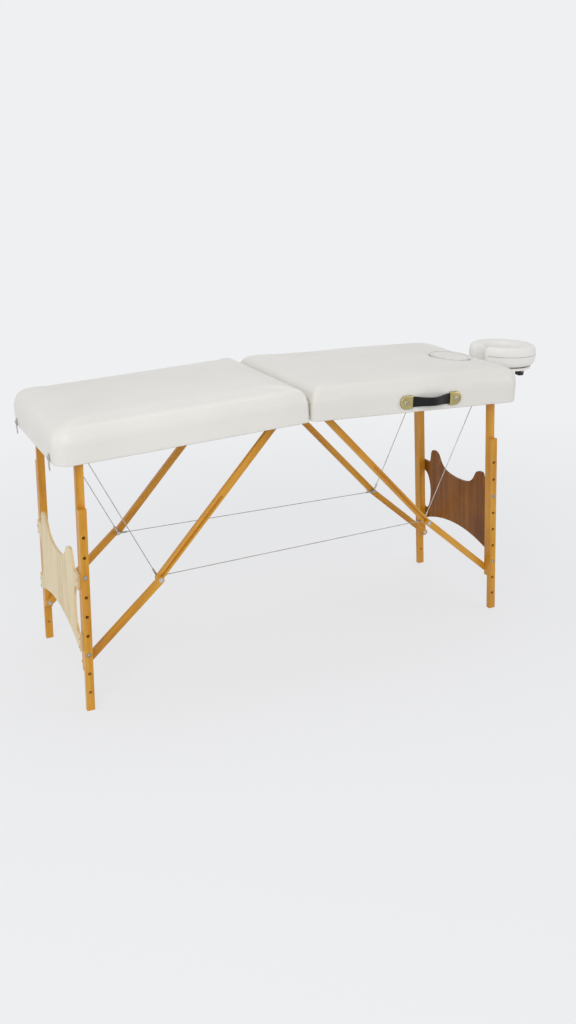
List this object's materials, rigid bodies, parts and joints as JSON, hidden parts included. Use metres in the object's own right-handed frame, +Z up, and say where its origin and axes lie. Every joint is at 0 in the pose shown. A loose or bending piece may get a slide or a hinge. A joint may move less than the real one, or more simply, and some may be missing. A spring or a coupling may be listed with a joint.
{
  "type": "portable massage table",
  "caption": "Two-section folding massage table with padded ivory deck, splayed wooden legs, end panels, jointed braces, steel stay cables and a horseshoe headrest",
  "frame": {"origin": "on the floor, below the middle of the whole table's bounding box; the deck hinge line is 135 mm towards -X and the deck middle 13 mm towards +Y", "axes": "+X runs along the table to the head end, -Y is the side with the carrying handle, +Z is up"},
  "size_m": [1.9858, 0.666, 0.9938],
  "materials": {
    "amber_panel": "amber lacquered plywood",
    "black_metal": "black painted steel",
    "brace_wood": "amber lacquered hardwood",
    "brass": "polished brass plate",
    "foam": "foam",
    "frame_wood": "birch plywood, lacquered",
    "leg_wood": "amber lacquered hardwood",
    "pale_panel": "pale birch plywood",
    "steel": "zinc-plated steel",
    "upholstery": "ivory PU leather, satin",
    "webbing": "black webbing"
  },
  "bodies": {
    "hinge_pins": {"hinge_pins": "steel"},
    "left_half": {"left_cover": "upholstery", "left_foam": "foam", "left_board": "frame_wood", "left_cross_rails": "frame_wood", "left_front_rail": "frame_wood", "left_back_rail": "frame_wood", "left_pivot_blocks": "frame_wood", "left_frame_hardware": "steel", "left_hinge_leaves": "steel"},
    "right_half": {"right_cover": "upholstery", "right_foam": "foam", "right_board": "frame_wood", "right_cross_rails": "frame_wood", "right_front_rail": "frame_wood", "right_back_rail": "frame_wood", "right_pivot_blocks": "frame_wood", "right_frame_hardware": "steel", "right_hinge_leaves": "steel", "handle_strap": "webbing", "handle_plates": "brass"},
    "left_leg_set": {"left_front_upper_leg": "leg_wood", "left_back_upper_leg": "leg_wood", "left_end_panel": "pale_panel", "left_leg_set_screws": "steel"},
    "left_front_foot": {"left_front_lower_leg": "leg_wood", "left_front_leg_bolts": "steel"},
    "left_back_foot": {"left_back_lower_leg": "leg_wood", "left_back_leg_bolts": "steel"},
    "left_upper_braces": {"left_front_upper_brace": "brace_wood", "left_back_upper_brace": "brace_wood", "left_knuckle_nuts": "steel"},
    "left_lower_braces": {"left_front_lower_brace": "brace_wood", "left_back_lower_brace": "brace_wood", "left_knuckle_bolts": "steel"},
    "left_long_cables": {"left_long_cables": "steel"},
    "left_short_cables": {"left_short_cables": "steel"},
    "right_leg_set": {"right_front_upper_leg": "leg_wood", "right_back_upper_leg": "leg_wood", "right_end_panel": "amber_panel", "right_leg_set_screws": "steel"},
    "right_front_foot": {"right_front_lower_leg": "leg_wood", "right_front_leg_bolts": "steel"},
    "right_back_foot": {"right_back_lower_leg": "leg_wood", "right_back_leg_bolts": "steel"},
    "right_upper_braces": {"right_front_upper_brace": "brace_wood", "right_back_upper_brace": "brace_wood", "right_knuckle_nuts": "steel"},
    "right_lower_braces": {"right_front_lower_brace": "brace_wood", "right_back_lower_brace": "brace_wood", "right_knuckle_bolts": "steel"},
    "right_long_cables": {"right_long_cables": "steel"},
    "right_short_cables": {"right_short_cables": "steel"},
    "face_hole_plug": {"face_hole_plug": "upholstery"},
    "headrest_posts": {"headrest_posts": "black_metal"},
    "headrest": {"headrest_base": "frame_wood", "headrest_cushion": "upholstery"},
    "headrest_lever": {"headrest_lever": "black_metal"},
    "front_latch_hook": {"front_latch_hook": "steel"},
    "back_latch_hook": {"back_latch_hook": "steel"}
  },
  "joints": [
    {"name": "left_half_fold", "type": "hinge", "parent": "hinge_pins", "child": "left_half", "pos_m": [-0.135, 0.013, 0.872], "axis": [0, -1, 0], "range_deg": [0, 87.7], "deforming": ["left_long_cables", "left_short_cables"]},
    {"name": "right_half_fold", "type": "hinge", "parent": "hinge_pins", "child": "right_half", "pos_m": [-0.135, 0.013, 0.872], "axis": [0, 1, 0], "range_deg": [0, 87.7], "deforming": ["right_long_cables", "right_short_cables"]},
    {"name": "left_leg_fold", "type": "hinge", "parent": "left_half", "child": "left_leg_set", "pos_m": [-0.90555, 0.013, 0.87142], "axis": [0, -1, 0], "range_deg": [0, 94.82]},
    {"name": "left_front_leg_length", "type": "slide", "parent": "left_leg_set", "child": "left_front_foot", "axis": [0.0454, 0, 0.999], "range_m": [0, 0.1341]},
    {"name": "left_back_leg_length", "type": "slide", "parent": "left_leg_set", "child": "left_back_foot", "axis": [0.0454, 0, 0.999], "range_m": [0, 0.1341]},
    {"name": "left_upper_brace_fold", "type": "hinge", "parent": "left_half", "child": "left_upper_braces", "pos_m": [-0.19807, 0.013, 0.8986], "axis": [0, 1, 0], "range_deg": [0, 45.02]},
    {"name": "left_lower_brace_fold", "type": "hinge", "parent": "left_leg_set", "child": "left_lower_braces", "pos_m": [-0.93803, 0.013, 0.15616], "axis": [0, -1, 0], "range_deg": [0, 46.36]},
    {"name": "left_long_cable_swing", "type": "hinge", "parent": "left_upper_braces", "child": "left_long_cables", "pos_m": [-0.66688, 0.013, 0.39232], "axis": [0, -1, 0], "range_deg": [0, 45.02]},
    {"name": "left_short_cable_swing", "type": "hinge", "parent": "left_half", "child": "left_short_cables", "pos_m": [-0.89597, 0.013, 0.8828], "axis": [0, -1, 0], "range_deg": [0, 67.18]},
    {"name": "right_leg_fold", "type": "hinge", "parent": "right_half", "child": "right_leg_set", "pos_m": [0.63555, 0.013, 0.87142], "axis": [0, 1, 0], "range_deg": [0, 94.82]},
    {"name": "right_front_leg_length", "type": "slide", "parent": "right_leg_set", "child": "right_front_foot", "axis": [-0.0454, 0, 0.999], "range_m": [0, 0.1341]},
    {"name": "right_back_leg_length", "type": "slide", "parent": "right_leg_set", "child": "right_back_foot", "axis": [-0.0454, 0, 0.999], "range_m": [0, 0.1341]},
    {"name": "right_upper_brace_fold", "type": "hinge", "parent": "right_half", "child": "right_upper_braces", "pos_m": [-0.07193, 0.013, 0.8986], "axis": [0, -1, 0], "range_deg": [0, 45.02]},
    {"name": "right_lower_brace_fold", "type": "hinge", "parent": "right_leg_set", "child": "right_lower_braces", "pos_m": [0.66803, 0.013, 0.15616], "axis": [0, 1, 0], "range_deg": [0, 46.36]},
    {"name": "right_long_cable_swing", "type": "hinge", "parent": "right_upper_braces", "child": "right_long_cables", "pos_m": [0.39688, 0.013, 0.39232], "axis": [0, 1, 0], "range_deg": [0, 45.02]},
    {"name": "right_short_cable_swing", "type": "hinge", "parent": "right_half", "child": "right_short_cables", "pos_m": [0.62597, 0.013, 0.8828], "axis": [0, 1, 0], "range_deg": [0, 67.18]},
    {"name": "face_plug_lift", "type": "slide", "parent": "right_half", "child": "face_hole_plug", "axis": [0.0384, 0, 0.9993], "range_m": [0, 0.07]},
    {"name": "headrest_reach", "type": "slide", "parent": "right_half", "child": "headrest_posts", "axis": [0.9993, 0, -0.0384], "range_m": [0, 0.05]},
    {"name": "headrest_tilt", "type": "hinge", "parent": "headrest_posts", "child": "headrest", "pos_m": [0.80623, 0.013, 0.88588], "axis": [0, -1, 0], "range_deg": [-35, 5]},
    {"name": "headrest_lever_turn", "type": "hinge", "parent": "headrest_posts", "child": "headrest_lever", "pos_m": [0.80623, 0.013, 0.88588], "axis": [0, -1, 0], "range_deg": [0, 90]},
    {"name": "front_latch_swing", "type": "hinge", "parent": "left_half", "child": "front_latch_hook", "pos_m": [-0.98899, -0.227, 0.8552], "axis": [0.9993, 0, 0.0384], "range_deg": [0, 90]},
    {"name": "back_latch_swing", "type": "hinge", "parent": "left_half", "child": "back_latch_hook", "pos_m": [-0.98899, 0.253, 0.8552], "axis": [-0.9993, 0, -0.0384], "range_deg": [0, 90]}
  ],
  "couplings": [
    {"joint": "left_leg_fold", "follows": "left_half_fold", "ratio": 1.081},
    {"joint": "left_front_leg_length", "follows": "left_half_fold", "m_per_rad": 0.087544},
    {"joint": "left_back_leg_length", "follows": "left_half_fold", "m_per_rad": 0.087544},
    {"joint": "left_upper_brace_fold", "follows": "left_half_fold", "ratio": 0.51311},
    {"joint": "left_lower_brace_fold", "follows": "left_half_fold", "ratio": 0.52844},
    {"joint": "left_long_cable_swing", "follows": "left_half_fold", "ratio": 0.51311},
    {"joint": "left_short_cable_swing", "follows": "left_half_fold", "ratio": 0.76583},
    {"joint": "right_leg_fold", "follows": "right_half_fold", "ratio": 1.081},
    {"joint": "right_front_leg_length", "follows": "right_half_fold", "m_per_rad": 0.087544},
    {"joint": "right_back_leg_length", "follows": "right_half_fold", "m_per_rad": 0.087544},
    {"joint": "right_upper_brace_fold", "follows": "right_half_fold", "ratio": 0.51311},
    {"joint": "right_lower_brace_fold", "follows": "right_half_fold", "ratio": 0.52844},
    {"joint": "right_long_cable_swing", "follows": "right_half_fold", "ratio": 0.51311},
    {"joint": "right_short_cable_swing", "follows": "right_half_fold", "ratio": 0.76583}
  ]
}
